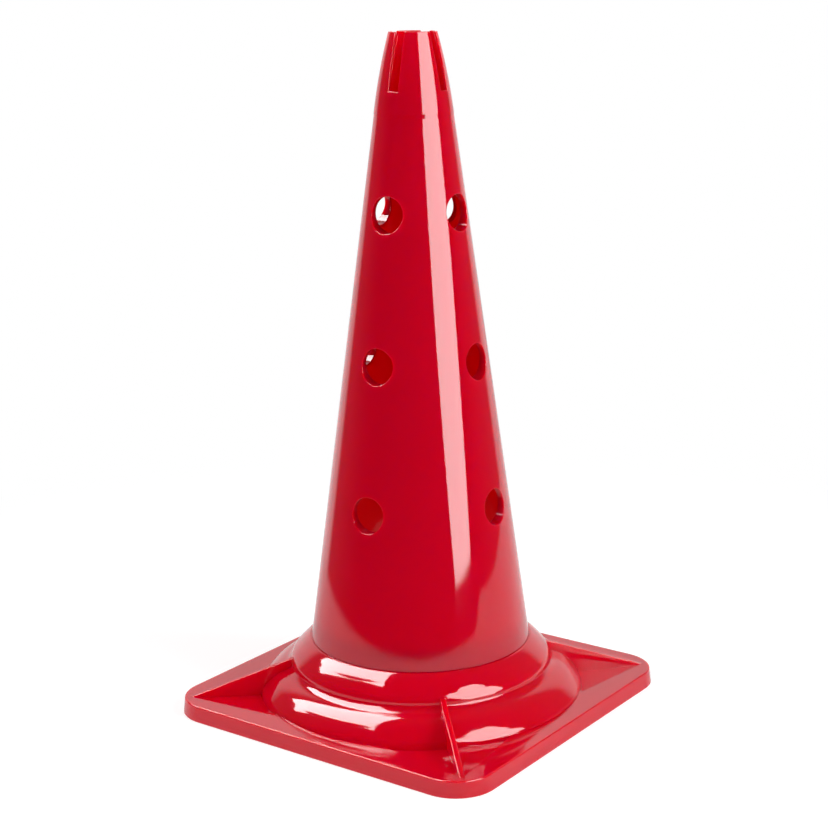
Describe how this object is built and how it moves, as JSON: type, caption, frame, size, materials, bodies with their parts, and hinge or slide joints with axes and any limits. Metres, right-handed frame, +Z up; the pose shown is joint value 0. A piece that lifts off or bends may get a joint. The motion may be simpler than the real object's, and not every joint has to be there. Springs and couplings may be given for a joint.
{
  "type": "training marker cone",
  "caption": "Hollow marker cone on a square base, with rows of pole holes through its side and hoop slots in its neck.",
  "frame": {"origin": "centre of the base's underside, on the ground", "axes": "+Z up along the cone's axis, X and Y along the sides of the square base"},
  "size_m": [0.2754, 0.2754, 0.5],
  "materials": {
    "cone_plastic": "glossy moulded red",
    "base_plastic": "glossy moulded red, slightly hazed on the flat rim"
  },
  "bodies": {
    "root": {"base": "base_plastic", "cone_body": "cone_plastic"}
  },
  "joints": []
}
